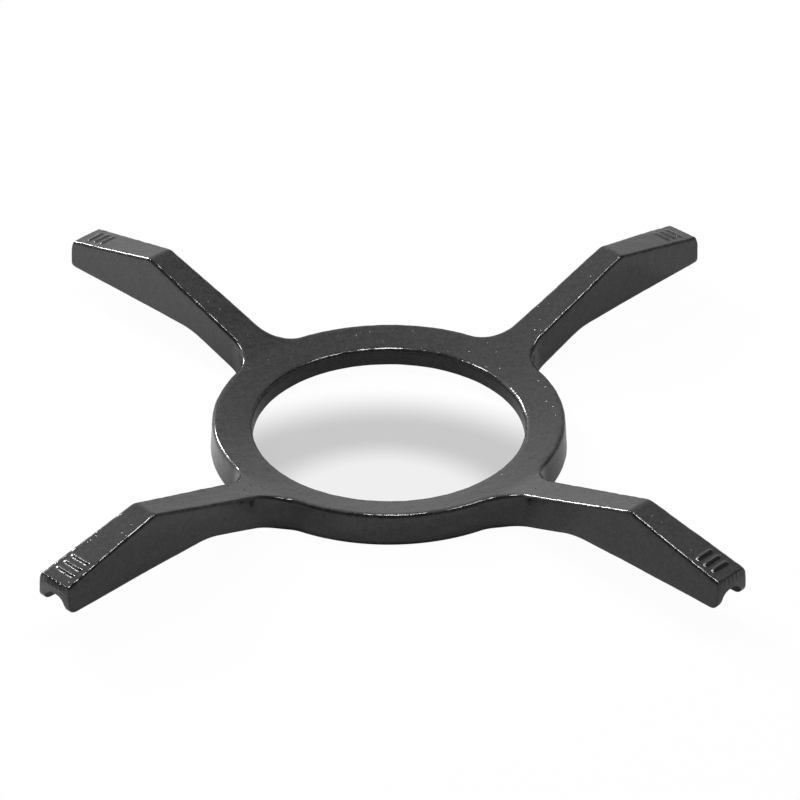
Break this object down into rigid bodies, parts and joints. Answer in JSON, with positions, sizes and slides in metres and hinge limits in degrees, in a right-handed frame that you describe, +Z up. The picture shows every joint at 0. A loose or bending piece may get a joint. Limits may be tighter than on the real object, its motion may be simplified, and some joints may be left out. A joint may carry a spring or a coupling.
{
  "type": "stove ring",
  "caption": "Cast iron pan support for a gas burner: a dished ring round the burner with cranked arms that rise to pan crests and end in notched tips.",
  "frame": {"origin": "on the axis of the burner opening, at the level of the ring's flat foot", "axes": "+Z up along the axis of the burner opening, towards the pan; the arms run along +X, -X, +Y and -Y"},
  "size_m": [0.282, 0.282, 0.026],
  "materials": {
    "enamel": "semi-gloss black enamel, faintly pitted"
  },
  "bodies": {
    "root": {"stove_ring": "enamel"}
  },
  "joints": []
}
